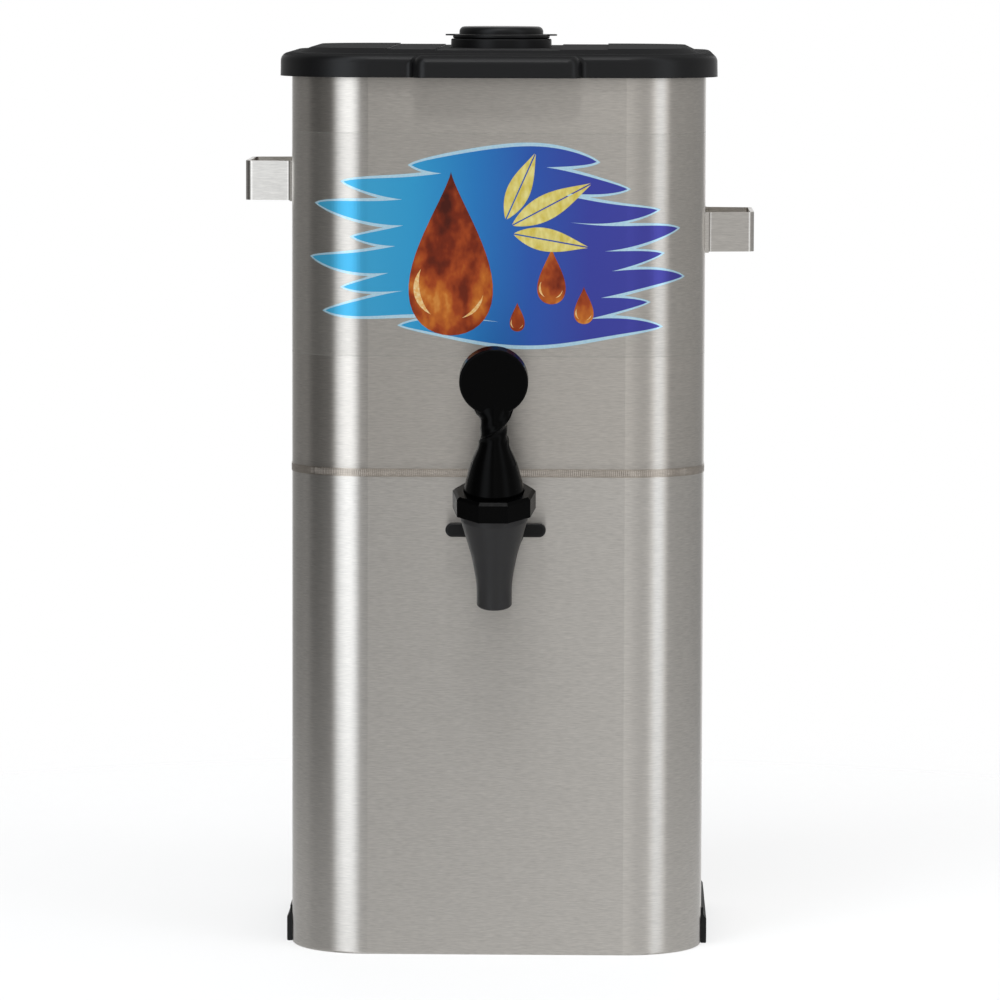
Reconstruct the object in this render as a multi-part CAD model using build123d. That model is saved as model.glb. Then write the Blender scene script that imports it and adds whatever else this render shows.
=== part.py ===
from build123d import *
import math
import os

# A countertop dispenser for iced tea: a tall stainless body that holds four US gallons, a loose
# moulded lid with a plugged brewing hole, two strap handles and a plastic lever tap on the front.
# Millimetres. X is the width, -Y is the front, Z is up. The origin is the middle of the footprint.

os.makedirs("parts", exist_ok=True)

# Body
body_width = 245.0
body_depth = 232.0
body_corner_radius = 47.0
rim_height = 524.0
sheet = 0.8
hem_width = 14.0
hem_bend = 1.6
seam_above_tap = 32.0
seam_width = 4.7
seam_bead = 0.25
rim_roll_proud = 3.2
rim_roll_height = 4.4
rim_roll_bend = 1.9

# Tank floor, a pan that slopes down to the tap
floor_height = 228.0
floor_slope = 1.5
floor_flange = 12.0
floor_gap = 0.05

# Clear printed sheet on the front
label_below_rim = 38.3
label_height = 131.1
label_thickness = 0.2
label_wrap = 4.0

# Strap handles, at two heights below the rim
strap_width = 23.5
strap_thickness = 2.4
strap_bend = 3.6
handle_stand_off = 29.8
handle_length = 70.0
handle_foot = 15.0
handle_splay = 4.0
left_handle_below_rim = 57.7
right_handle_below_rim = 87.5

# Rubber strips along the bottom of both sides
strip_thickness = 3.2
strip_body_height = 14.6
strip_bevel = 2.6
strip_lip_thickness = 1.3
strip_height = 21.5
strip_round = 0.9

# Lid
lid_overhang = 6.8
lid_wall = 2.5
lid_drop = 6.0
lid_side_height = 13.8
lid_shoulder = 5.0
lid_draft = 1.0
lid_gap = 0.3
plateau_inset = 11.3
plateau_slope = 6.3
plateau_height = 3.0
channel_width = 129.0
channel_depth = 0.6
inner_channel_width = 73.0
inner_channel_depth = 0.5
lobe_width = 97.5
lobe_proud = 12.0
lobe_corner = 7.2
lobe_blend = 4.3
lobe_step = 1.0
lobe_shoulder = 5.5
locating_gap = 1.5
locating_wall = 2.0
locating_drop = 10.0
rib_thickness = 1.8
rib_depth = 5.0
seat_rib_thickness = 2.4
seat_rib_side_spacing = 55.0
seat_rib_front_offset = 78.0

# Brewing hole and its plug
brew_hole_radius = 24.5
collar_radius = 30.3
collar_height = 4.2
collar_chamfer = 0.5
collar_drop = 8.0
plug_gap = 0.2
plug_fit = 0.3
plug_cap_radius = 29.2
plug_cap_height = 2.6
plug_depth = 15.0
plug_wall = 3.0
plug_dome_radius = 25.3
plug_dome_height = 4.6
plug_dome_round = 3.2
plug_tab_reach = 33.6
plug_tab_width = 16.0
plug_tab_thickness = 0.9

# Tap: the shank's axis is level, and the valve's axis leans forward at the top
tap_above_floor = 26.3
tap_reach = 58.0
tap_lean = 14.0
gasket_thickness = 2.0
gasket_radius = 17.0
shank_flange_flats = 30.0
shank_flange_thickness = 4.0
shank_outer_radius = 12.5
shank_outer_length = 12.0
shank_inner_radius = 11.0
shank_inner_length = 22.0
shank_bore_radius = 8.5
shank_hole_clearance = 0.4
nut_flats = 32.0
nut_thickness = 8.0
thread_clearance = 0.05

wing_nut_radius = 16.5
wing_nut_gap = 0.6
wing_nut_length = 16.4
wing_nut_lip = 2.7
wing_span = 58.8
wing_height = 8.2
wing_thickness = 7.6
wing_round = 1.4

inlet_radius = 10.0
inlet_flange_radius = 12.2
inlet_flange_thickness = 2.0
inlet_bore_radius = 6.0
spigot_length = 6.0
spigot_clearance = 0.2
o_ring_section = 1.5
o_ring_groove_depth = 1.4
o_ring_groove_width = 2.2

# Valve body, heights measured up the valve's axis from the shank's axis
valve_shoulder_radius = 19.6
valve_shoulder_height = 16.2
valve_cone_top = 12.0
valve_middle_radius = 13.0
valve_middle_height = -12.0
outlet_radius = 10.2
outlet_top = -28.0
outlet_bottom = -42.0
outlet_bore_radius = 7.4
outlet_lip_round = 1.2
cone_blend = 60.0
neck_radius = 18.4
neck_top = 22.4
valve_wall = 2.8
seat_height = -14.2

# Bonnet
bonnet_sides = 9
bonnet_radius = 24.4
bonnet_bottom = 16.5
bonnet_top = 28.5
bonnet_turn = 10.0
bonnet_chamfer = 1.6
bonnet_web = 1.4
web_top = 24.0
bonnet_clearance = 0.1
bowl_clearance = 0.4

# Stem, seat cup and spring
stem_radius = 2.6
stem_clearance = 0.3
stem_collar_radius = 8.0
stem_collar_height = -4.2
stem_collar_thickness = 1.2
stem_knob_radius = 5.0
stem_knob_bottom = -11.0
stem_knob_top = -8.0
stem_eye_radius = 4.4
stem_eye_width = 6.0
seat_cup_radius = 9.4
seat_cup_bottom = -13.6
seat_cup_chamfer = 2.0
seat_cup_fit = 0.05
spring_wire = 1.2
spring_mean_radius = 6.5
spring_turns = 6
spring_gap = 0.35

# Lever
pin_height = 30.0
pin_radius = 1.5
pin_length = 33.0
pin_eye_clearance = 0.06
pin_hole_clearance = 0.02
ball_radius = 17.3
ball_bottom = 26.0
base_radius = 12.5
base_gap = 0.3
bell_height = 45.4
bell_top_radius = 13.3
bell_bulge = 0.15
neck_step = 0.2
waist_height = 65.0
waist_half_width = 9.2
waist_half_thickness = 7.8
ridge_bottom = 56.0
neck_end_height = 82.0
neck_end_half_width = 14.4
neck_end_half_thickness = 3.4
neck_flare = 3.0
ridge_sharpness = 0.75
side_points = 12
twist_turn = 180.0
twist_bottom = 57.8
twist_top = 75.0
lever_slices = 20
knob_radius = 19.8
knob_height = 95.1
knob_thickness = 9.0
knob_round = 1.2
slot_clearance = 0.3
slot_radius = 6.5

# How far one shape runs into the next before they are joined
overlap = 0.5

# Places that follow from the sizes above
side = body_width / 2
front = -body_depth / 2
flat_side = body_depth / 2 - body_corner_radius
shank_height = floor_height + tap_above_floor
seam_height = shank_height + seam_above_tap
seam_bottom = seam_height - seam_width / 2
seam_top = seam_height + seam_width / 2
label_top = rim_height - label_below_rim
label_bottom = label_top - label_height
lid_bottom = rim_height - lid_drop
ledge_height = lid_bottom + lid_side_height
plateau_top = ledge_height + plateau_height
lobe_top = ledge_height - lobe_step
collar_top = plateau_top + collar_height
plug_seat = collar_top + plug_gap
plug_top = plug_seat + plug_cap_height
underside = ledge_height - lid_wall
lobe_underside = lobe_top - lid_wall
pocket_top = plateau_top - lid_wall
shank_flange_top = gasket_thickness + shank_flange_thickness
shank_end = shank_flange_top + shank_outer_length
base_bottom = web_top + base_gap
web_bottom = web_top - bonnet_web

# Frames: depth 0 is the wall's outer face, and the valve frame stands on the shank's axis
shank_frame = Plane(origin=(0, front, shank_height), x_dir=(1, 0, 0), z_dir=(0, -1, 0))
lean = math.radians(tap_lean)
valve_frame = Plane(
    origin=(0, front - tap_reach, shank_height),
    x_dir=(1, 0, 0),
    z_dir=(0, -math.sin(lean), math.cos(lean)),
)


def body_outline(grow=0.0):
    return RectangleRounded(
        body_width + 2 * grow, body_depth + 2 * grow, body_corner_radius + grow
    )


def prism(outline, bottom, top):
    return Pos(0, 0, bottom) * extrude(outline, amount=top - bottom)


def ring_wall(outer_grow, inner_grow, bottom, top):
    return prism(body_outline(outer_grow), bottom, top) - prism(
        body_outline(inner_grow), bottom - 1, top + 1
    )


def top_edges(solid):
    return solid.faces().sort_by(Axis.Z)[-1].edges()


def bottom_edges(solid):
    return solid.faces().sort_by(Axis.Z)[0].edges()


def turned(points, radii=None):
    """A solid turned about Z from its half outline, given as (radius, height) points."""
    corners = [(r, 0, h) for r, h in points]
    if radii is None:
        wire = Polyline(*corners, close=True)
    else:
        wire = FilletPolyline(*corners, radius=radii, close=True)
    return revolve(make_face(wire), Axis.Z)


def disc(radius, bottom, top, hole=0.0):
    solid = Pos(0, 0, bottom) * extrude(Circle(radius), amount=top - bottom)
    if hole:
        solid -= Pos(0, 0, bottom - 1) * extrude(Circle(hole), amount=top - bottom + 2)
    return solid


def hexagon(flats, bottom, top, hole):
    outline = RegularPolygon(flats / 2, 6, major_radius=False)
    solid = Pos(0, 0, bottom) * extrude(outline, amount=top - bottom)
    return solid - disc(hole, bottom - 1, top + 1)


def on_shank(solid):
    return shank_frame.location * solid


def on_valve(solid):
    return valve_frame.location * solid


def lower_base_shell():
    outer = prism(body_outline(), 0, seam_bottom)
    outer = fillet(bottom_edges(outer), hem_bend)
    inner = prism(body_outline(-sheet), sheet, seam_bottom + 1)
    inner = fillet(bottom_edges(inner), hem_bend - sheet)
    mouth = prism(body_outline(-hem_width), -1, sheet + 1)
    shank_hole = disc(shank_inner_radius + shank_hole_clearance, -sheet - 5, 5)
    return outer - inner - mouth - on_shank(shank_hole)


def upper_tank_shell():
    wall = ring_wall(0, -sheet, seam_top, rim_height)
    roll = prism(body_outline(rim_roll_proud), rim_height - rim_roll_height, rim_height)
    roll = fillet(top_edges(roll) + bottom_edges(roll), rim_roll_bend)
    roll -= prism(body_outline(-sheet), rim_height - rim_roll_height - 1, rim_height + 1)
    return wall + roll


def weld_seam():
    return ring_wall(seam_bead, -sheet - seam_bead, seam_bottom, seam_top)


def below_floor(drop):
    """Everything under the sloping floor's plane, lowered by drop."""
    reach = 2 * body_depth
    block = Pos(0, 0, -reach / 2) * Box(2 * body_width, reach, reach)
    return Pos(0, 0, floor_height - drop) * Rot(floor_slope, 0, 0) * block


def tank_floor():
    outer_grow = -sheet - floor_gap
    low_side = floor_height - math.tan(math.radians(floor_slope)) * body_depth / 2
    bottom = low_side - floor_flange
    top = floor_height + body_depth / 2
    pan = prism(body_outline(outer_grow), bottom, top) & below_floor(0)
    hollow = prism(body_outline(outer_grow - sheet), bottom - 1, top) & below_floor(sheet)
    return pan - hollow


def label_sheet():
    skin = ring_wall(label_thickness, 0, label_bottom, label_top)
    back = -(flat_side - label_wrap)
    keep = Pos(0, back - body_depth / 2, label_bottom + label_height / 2) * Box(
        2 * body_width, body_depth, 2 * label_height
    )
    return skin & keep


def strap_handle(below_rim, direction):
    """A flat strap bent like a hat: two feet on the wall and a grip that stands off it."""
    wall = strap_thickness / 2
    grip = handle_stand_off - strap_thickness / 2
    leg = handle_length / 2 - strap_thickness / 2
    foot = leg + handle_splay
    end = foot + handle_foot
    path = FilletPolyline(
        (side + wall, -end),
        (side + wall, -foot),
        (side + grip, -leg),
        (side + grip, leg),
        (side + wall, foot),
        (side + wall, end),
        radius=strap_bend,
    )
    section = Plane(origin=path @ 0, x_dir=(0, 0, 1), z_dir=path % 0) * Rectangle(
        strap_width, strap_thickness
    )
    middle = rim_height - below_rim - strap_width / 2
    strap = Pos(0, 0, middle) * sweep(section, path=path)
    return strap if direction > 0 else mirror(strap, Plane.YZ)


def edge_strip(direction):
    profile = FilletPolyline(
        (side, 0),
        (side + strip_thickness, 0),
        (side + strip_thickness, strip_body_height),
        (side + strip_lip_thickness, strip_body_height + strip_bevel),
        (side + strip_lip_thickness, strip_height),
        (side, strip_height),
        radius=(0, strip_round, strip_round, strip_round, 0, 0),
        close=True,
    )
    face = make_face(Plane.XZ * profile)
    strip = Pos(0, flat_side, 0) * extrude(face, amount=2 * flat_side)
    return strip if direction > 0 else mirror(strip, Plane.YZ)


def lid_outline(grow=0.0):
    return RectangleRounded(
        body_width + 2 * (lid_overhang + grow),
        body_depth + 2 * (lid_overhang + grow),
        body_corner_radius + lid_overhang + grow,
    )


def lid_plan(grow=0.0):
    """The lid's outline with a lobe at the front and one at the back."""
    half_depth = body_depth / 2 + lid_overhang + grow
    half_lobe = lobe_width / 2 + grow
    lobes = RectangleRounded(2 * half_lobe, 2 * (half_depth + lobe_proud), lobe_corner + grow)
    plan = lid_outline(grow) + lobes
    inside_corners = [
        v
        for v in plan.vertices()
        if abs(abs(v.X) - half_lobe) < 0.01 and abs(abs(v.Y) - half_depth) < 0.01
    ]
    return fillet(inside_corners, lobe_blend - grow)


def drafted(plan, top):
    """A moulding that stands on the lid's rim and draws in by the draft angle as it rises."""
    draw = math.tan(math.radians(lid_draft)) * (top - lid_bottom)
    return loft([Pos(0, 0, lid_bottom) * plan(), Pos(0, 0, top) * plan(-draw)], ruled=True)


def lid_shell():
    lobed = drafted(lid_plan, lobe_top)
    lobed = fillet(top_edges(lobed), lobe_shoulder)
    main = drafted(lid_outline, ledge_height)
    main = fillet(top_edges(main), lid_shoulder)
    plateau = loft(
        [
            Pos(0, 0, ledge_height) * lid_outline(-plateau_inset),
            Pos(0, 0, plateau_top) * lid_outline(-plateau_inset - plateau_slope),
        ],
        ruled=True,
    )
    for width, depth in (
        (channel_width, channel_depth),
        (inner_channel_width, channel_depth + inner_channel_depth),
    ):
        cut = Box(width, 2 * body_depth, 2 * depth)
        plateau -= Pos(0, 0, plateau_top) * cut
    lobes = prism(lid_plan(-lid_wall), lid_bottom - 1, lobe_underside)
    hollow = prism(lid_outline(-lid_wall), lid_bottom - 1, underside)
    pocket_inset = plateau_inset + plateau_slope
    pocket = prism(lid_outline(-pocket_inset), lid_bottom - 1, pocket_top)
    return lobed + main + plateau - lobes - hollow - pocket


def lid_underside():
    """The wall that drops inside the tank, the ribs that rest on its rim, and the stiffeners."""
    outer = -sheet - locating_gap
    inner = outer - locating_wall
    locating = ring_wall(outer, inner, rim_height - locating_drop, underside + 1)
    seat = rim_height + lid_gap
    rib_height = underside + overlap - seat
    reach = lid_overhang - lid_wall + sheet + locating_gap + 2 * overlap
    middle = seat + rib_height / 2
    side_rib = Box(reach, seat_rib_thickness, rib_height)
    front_rib = Box(seat_rib_thickness, reach, rib_height)
    from_wall = reach / 2 - sheet - locating_gap - overlap
    ribs = []
    for x in (-1, 1):
        for y in (-1, 0, 1):
            place = Pos(x * (side + from_wall), y * seat_rib_side_spacing, middle)
            ribs.append(place * side_rib)
        for y in (-1, 1):
            place = Pos(x * seat_rib_front_offset, y * (from_wall - front), middle)
            ribs.append(place * front_rib)
    stiff_middle = pocket_top - (rib_depth - overlap) / 2
    across = collar_radius + rib_thickness
    for place in (-across, across):
        ribs.append(
            Pos(place, 0, stiff_middle)
            * Box(rib_thickness, body_depth - 2 * plateau_inset, rib_depth + overlap)
        )
        ribs.append(
            Pos(0, place, stiff_middle)
            * Box(body_width - 2 * plateau_inset, rib_thickness, rib_depth + overlap)
        )
    drop = disc(brew_hole_radius + lid_wall, pocket_top - collar_drop, pocket_top + 1)
    return locating, ribs, drop


def lid():
    locating, ribs, drop = lid_underside()
    collar = disc(collar_radius, pocket_top, collar_top)
    collar = chamfer(top_edges(collar), collar_chamfer)
    solid = lid_shell() + locating + collar + drop
    for rib in ribs:
        solid += rib
    return solid - disc(brew_hole_radius, lid_bottom, collar_top + 1)


def brew_plug():
    """A rubber plug: a hollow stopper, a flat cap with two pull tabs, and a low dome."""
    stopper_radius = brew_hole_radius - plug_fit
    stopper = disc(stopper_radius, plug_seat - plug_depth, plug_seat + 1)
    cap = disc(plug_cap_radius, plug_seat, plug_top)
    cap = fillet(bottom_edges(cap) + top_edges(cap), plug_cap_height / 3)
    dome = disc(plug_dome_radius, plug_top - overlap, plug_top + plug_dome_height)
    dome = fillet(top_edges(dome), plug_dome_round)
    tabs = Pos(0, 0, plug_top - plug_tab_thickness) * extrude(
        SlotOverall(2 * plug_tab_reach, plug_tab_width), amount=plug_tab_thickness
    )
    hollow = disc(stopper_radius - plug_wall, plug_seat - plug_depth - 1, plug_top)
    return stopper + cap + dome + tabs - hollow


def shank_outer_gasket():
    hole = shank_inner_radius + shank_hole_clearance
    return on_shank(disc(gasket_radius, 0, gasket_thickness, hole))


def shank_inner_gasket():
    hole = shank_inner_radius + shank_hole_clearance
    return on_shank(disc(gasket_radius, -sheet - gasket_thickness, -sheet, hole))


def tap_shank():
    flange = hexagon(
        shank_flange_flats, gasket_thickness, shank_flange_top, shank_bore_radius
    )
    outside = disc(shank_outer_radius, shank_flange_top - 1, shank_end, shank_bore_radius)
    inside = disc(
        shank_inner_radius, -shank_inner_length, gasket_thickness + 1, shank_bore_radius
    )
    return on_shank(flange + outside + inside)


def shank_lock_nut():
    face = -sheet - gasket_thickness
    hole = shank_inner_radius + thread_clearance
    return on_shank(hexagon(nut_flats, face - nut_thickness, face, hole))


def wing_nut():
    start = shank_flange_top + wing_nut_gap
    end = start + wing_nut_length
    lip = end - wing_nut_lip
    hub = disc(wing_nut_radius, start, end)
    hub = fillet(top_edges(hub), wing_round)
    wings = extrude(SlotOverall(wing_span, wing_height), amount=wing_thickness)
    wings = Pos(0, 0, (start + end - wing_thickness) / 2) * fillet(
        top_edges(wings) + bottom_edges(wings), wing_round
    )
    thread = disc(shank_outer_radius + thread_clearance, start - 1, lip)
    room = disc(inlet_flange_radius + bonnet_clearance, shank_end - 1, lip)
    mouth = disc(inlet_radius + stem_clearance, start, end + 1)
    return on_shank(hub + wings - thread - room - mouth)


def inlet():
    """The level tube from the valve to the shank, with its flange and its grooved spigot."""
    spigot_radius = shank_bore_radius - spigot_clearance
    tube = disc(inlet_radius, shank_end, tap_reach)
    flange = disc(inlet_flange_radius, shank_end, shank_end + inlet_flange_thickness)
    spigot = disc(spigot_radius, shank_end - spigot_length, shank_end + 1)
    groove = disc(
        spigot_radius + 1,
        shank_end - (spigot_length + o_ring_groove_width) / 2,
        shank_end - (spigot_length - o_ring_groove_width) / 2,
        spigot_radius - o_ring_groove_depth,
    )
    return tube + flange + spigot - groove


def inlet_o_ring():
    section = o_ring_section / 2
    ring_radius = shank_bore_radius - spigot_clearance - o_ring_groove_depth + section
    ring = Torus(ring_radius + seat_cup_fit, section)
    return on_shank(Pos(0, 0, shank_end - spigot_length / 2) * ring)


def valve_chamber():
    """The bore of the valve body: outlet, seat and the chamber that follows the cone outside."""
    seat_top = valve_middle_height
    chamber_top = neck_radius - valve_wall
    return turned(
        [
            (0, outlet_bottom - 1),
            (outlet_bore_radius, outlet_bottom - 1),
            (outlet_bore_radius, seat_height),
            (valve_middle_radius - valve_wall, seat_top),
            (chamber_top, valve_cone_top - valve_wall),
            (chamber_top, neck_top + 1),
            (0, neck_top + 1),
        ]
    )


def valve_body():
    cone = turned(
        [
            (0, outlet_bottom),
            (outlet_radius, outlet_bottom),
            (outlet_radius, outlet_top),
            (valve_middle_radius, valve_middle_height),
            (valve_shoulder_radius, valve_cone_top),
            (valve_shoulder_radius, valve_shoulder_height),
            (neck_radius, valve_shoulder_height),
            (neck_radius, neck_top),
            (0, neck_top),
        ],
        (0, outlet_lip_round, cone_blend, cone_blend, 2 * outlet_lip_round, 0, 0, 0, 0),
    )
    water_way = disc(inlet_bore_radius, 0, tap_reach)
    solid = on_valve(cone) + on_shank(inlet())
    return solid - on_valve(valve_chamber()) - on_shank(water_way)


def bonnet():
    """The ten-sided cap nut, with the bowl that the lever's ball sits in."""
    outline = Rot(0, 0, bonnet_turn) * RegularPolygon(bonnet_radius, bonnet_sides)
    nut = Pos(0, 0, bonnet_bottom) * extrude(outline, amount=bonnet_top - bonnet_bottom)
    nut = chamfer(top_edges(nut), bonnet_chamfer)
    bowl = Pos(0, 0, pin_height) * Sphere(ball_radius + bowl_clearance)
    bowl -= disc(2 * ball_radius, pin_height - 2 * ball_radius, web_top)
    thread = disc(neck_radius + bonnet_clearance, bonnet_bottom - 1, web_bottom)
    stem_hole = disc(stem_radius + stem_clearance, bonnet_bottom, bonnet_top)
    return on_valve(nut - bowl - thread - stem_hole)


def valve_stem():
    rod = disc(stem_radius, stem_knob_bottom, pin_height)
    knob = disc(stem_knob_radius, stem_knob_bottom, stem_knob_top)
    collar_top_height = stem_collar_height + stem_collar_thickness
    collar = disc(stem_collar_radius, stem_collar_height, collar_top_height)
    eye = Pos(0, 0, pin_height) * Rot(0, 90, 0) * Cylinder(stem_eye_radius, stem_eye_width)
    hole = Pos(0, 0, pin_height) * Rot(0, 90, 0) * Cylinder(
        pin_radius + pin_eye_clearance, 2 * stem_eye_width
    )
    return on_valve(rod + knob + collar + eye - hole)


def seat_cup():
    cup = disc(seat_cup_radius, seat_cup_bottom, stem_collar_height)
    cup = chamfer(bottom_edges(cup), seat_cup_chamfer)
    room = disc(
        stem_knob_radius + seat_cup_fit,
        stem_knob_bottom - seat_cup_fit,
        stem_knob_top + seat_cup_fit,
    )
    throat = disc(stem_radius + seat_cup_fit, stem_knob_bottom, stem_collar_height + 1)
    return on_valve(cup - room - throat)


def biarc(start, start_way, end, end_way):
    """Two arcs that meet smoothly and leave and arrive along the given directions."""
    across = end - start
    along = across.dot(start_way + end_way)
    spread = 2 * (1 - start_way.dot(end_way))
    reach = (math.sqrt(along**2 + spread * across.dot(across)) - along) / spread
    meeting = (start + end) * 0.5 + (start_way - end_way) * (reach / 2)
    first = TangentArc(start, meeting, tangent=start_way)
    second = TangentArc(meeting, end, tangent=first % 1)
    return [first, second]


def coil(radius, bottom, top, turns):
    """A coil's centreline: half a turn for each pair of arcs."""
    rise = (top - bottom) / (2 * math.pi * turns)
    points = []
    for step in range(2 * turns + 1):
        angle = math.pi * step
        way = Vector(-radius * math.sin(angle), radius * math.cos(angle), rise).normalized()
        place = Vector(
            radius * math.cos(angle), radius * math.sin(angle), bottom + rise * angle
        )
        points.append((place, way))
    arcs = []
    for (start, start_way), (end, end_way) in zip(points, points[1:]):
        arcs += biarc(start, start_way, end, end_way)
    return Wire(arcs)


def stem_spring():
    """One wire from the stem's collar up to the bonnet's web."""
    bottom = stem_collar_height + stem_collar_thickness + spring_gap + spring_wire / 2
    top = web_bottom - spring_gap - spring_wire / 2
    path = coil(spring_mean_radius, bottom, top, spring_turns)
    section = Plane(origin=path @ 0, z_dir=path % 0) * Circle(spring_wire / 2)
    gap_between_turns = (top - bottom) / spring_turns - spring_wire
    print(f"stem_spring: {spring_turns} turns, {gap_between_turns:.2f} mm between them")
    return on_valve(sweep(section, path=path))


def almond(half_width, half_thickness, sharpness, turn):
    """An ellipse whose two ends draw out into ridges as the sharpness nears one."""
    sides = []
    for way in (1, -1):
        points = []
        for step in range(side_points + 1):
            angle = math.pi * step / side_points
            rise = half_thickness * math.sin(angle) ** (1 + sharpness)
            points.append((way * half_width * math.cos(angle), way * rise))
        sides.append(Spline(*points, tangents=[(0, way), (0, -way)]))
    return Rot(0, 0, turn) * make_face(sides)


def below_waist(height):
    """The neck's radius: it leaves the bell a small step in, then eases into the waist."""
    share = (waist_height - height) / (waist_height - bell_height)
    eased = share**2 * (3 - 2 * share)
    slope = (ball_radius - bell_top_radius) / (bell_height - pin_height)
    bell_line = bell_top_radius - neck_step - slope * (height - bell_height)
    return waist_half_thickness + (bell_line - waist_half_thickness) * eased


def lever_section(height):
    """The lever's section at a height: narrow at the waist, turned by its place in the twist."""
    if height < waist_height:
        ridge = max(height - ridge_bottom, 0) / (waist_height - ridge_bottom)
        half_thickness = below_waist(height)
        half_width = half_thickness + (waist_half_width - waist_half_thickness) * ridge
    else:
        ridge = 1
        flare = ((height - waist_height) / (neck_end_height - waist_height)) ** neck_flare
        half_width = waist_half_width + (neck_end_half_width - waist_half_width) * flare
        half_thickness = (
            waist_half_thickness + (neck_end_half_thickness - waist_half_thickness) * flare
        )
    turned_share = (twist_top - height) / (twist_top - twist_bottom)
    turn = -twist_turn * min(max(turned_share, 0.0), 1.0)
    return Pos(0, 0, height) * almond(half_width, half_thickness, ridge_sharpness * ridge, turn)


def lever_neck():
    start = bell_height - overlap
    step = (neck_end_height - start) / (lever_slices - 1)
    return loft([lever_section(start + step * i) for i in range(lever_slices)])


def lever_bell():
    """The round foot: a cone up to the twist, a ball about the pin and a flat that rocks."""
    drop = pin_height - ball_bottom
    ball_end = math.sqrt(ball_radius**2 - drop**2)
    half = math.asin(drop / ball_radius) / 2
    on_ball = (ball_radius * math.cos(half), pin_height - ball_radius * math.sin(half))
    middle_radius = (ball_radius + bell_top_radius) / 2 + bell_bulge
    middle_height = (pin_height + bell_height) / 2
    foot = Polyline((0, 0, bell_height), (0, 0, base_bottom), (base_radius, 0, base_bottom))
    chamfered = Line((base_radius, 0, base_bottom), (ball_end, 0, ball_bottom))
    ball = ThreePointArc(
        (ball_end, 0, ball_bottom), (on_ball[0], 0, on_ball[1]), (ball_radius, 0, pin_height)
    )
    cone = ThreePointArc(
        (ball_radius, 0, pin_height),
        (middle_radius, 0, middle_height),
        (bell_top_radius, 0, bell_height),
    )
    lid_line = Line((bell_top_radius, 0, bell_height), (0, 0, bell_height))
    return revolve(make_face(foot + chamfered + ball + cone + lid_line), Axis.Z)


def tap_lever():
    knob = Rot(90, 0, 0) * Cylinder(knob_radius, knob_thickness)
    knob = fillet(knob.edges().filter_by(GeomType.CIRCLE), knob_round)
    solid = lever_bell() + lever_neck() + Pos(0, 0, knob_height) * knob
    slot_width = stem_eye_width + 2 * slot_clearance
    slot = Rot(0, 90, 0) * Cylinder(slot_radius, slot_width)
    slot += Pos(0, 0, -slot_radius) * Box(slot_width, 2 * slot_radius, 2 * slot_radius)
    hole = Rot(0, 90, 0) * Cylinder(pin_radius + pin_hole_clearance, 4 * ball_radius)
    return on_valve(solid - Pos(0, 0, pin_height) * (slot + hole))


def lever_pin():
    return on_valve(Pos(0, 0, pin_height) * Rot(0, 90, 0) * Cylinder(pin_radius, pin_length))


parts = {
    "lower_base_shell": lower_base_shell(),
    "upper_tank_shell": upper_tank_shell(),
    "weld_seam": weld_seam(),
    "tank_floor": tank_floor(),
    "label_sheet": label_sheet(),
    "left_handle": strap_handle(left_handle_below_rim, -1),
    "right_handle": strap_handle(right_handle_below_rim, 1),
    "left_edge_strip": edge_strip(-1),
    "right_edge_strip": edge_strip(1),
    "lid": lid(),
    "brew_plug": brew_plug(),
    "shank_outer_gasket": shank_outer_gasket(),
    "shank_inner_gasket": shank_inner_gasket(),
    "tap_shank": tap_shank(),
    "shank_lock_nut": shank_lock_nut(),
    "wing_nut": wing_nut(),
    "inlet_o_ring": inlet_o_ring(),
    "valve_body": valve_body(),
    "bonnet": bonnet(),
    "valve_stem": valve_stem(),
    "seat_cup": seat_cup(),
    "stem_spring": stem_spring(),
    "tap_lever": tap_lever(),
    "lever_pin": lever_pin(),
}

for name, solid in parts.items():
    export_step(solid, f"parts/{name}.step")
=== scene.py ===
import bpy
import bmesh
import math
from mathutils import Matrix, Vector


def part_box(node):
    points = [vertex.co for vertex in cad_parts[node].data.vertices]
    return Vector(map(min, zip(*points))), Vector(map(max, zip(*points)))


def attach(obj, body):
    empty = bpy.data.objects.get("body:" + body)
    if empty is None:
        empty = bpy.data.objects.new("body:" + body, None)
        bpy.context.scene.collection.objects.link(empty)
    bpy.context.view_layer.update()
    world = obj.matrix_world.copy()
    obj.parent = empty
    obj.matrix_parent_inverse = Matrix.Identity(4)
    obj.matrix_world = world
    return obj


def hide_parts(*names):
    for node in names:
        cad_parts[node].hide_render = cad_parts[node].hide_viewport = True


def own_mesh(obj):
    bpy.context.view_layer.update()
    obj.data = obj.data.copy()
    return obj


# A brushed stainless dispenser for iced tea, with a moulded lid, strap handles and a lever tap.
# Metres, Z up, the front at -Y.

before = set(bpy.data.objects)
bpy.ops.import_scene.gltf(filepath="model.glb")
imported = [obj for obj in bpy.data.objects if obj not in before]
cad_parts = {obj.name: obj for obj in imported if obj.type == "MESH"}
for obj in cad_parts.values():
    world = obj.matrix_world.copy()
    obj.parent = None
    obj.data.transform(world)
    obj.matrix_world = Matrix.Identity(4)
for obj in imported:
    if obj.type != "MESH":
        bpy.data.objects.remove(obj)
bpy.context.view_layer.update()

MM = 0.001

# The body's outline and the heights of the seam and the label, as the construction has them
shell_low, shell_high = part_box("lower_base_shell")
seam_low, seam_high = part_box("weld_seam")
label_low, label_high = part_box("label_sheet")
BODY_WIDTH = shell_high.x - shell_low.x
BODY_DEPTH = shell_high.y - shell_low.y
BODY_CORNER = 47 * MM
FLAT_HALF = BODY_WIDTH / 2 - BODY_CORNER
SEAM_PROUD = (seam_high.x - seam_low.x - BODY_WIDTH) / 2
LABEL_MIDDLE = (label_low.z + label_high.z) / 2

# Layers of the label, as distances off the wall
FILM = (0.02 * MM, 0.06 * MM)
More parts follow.
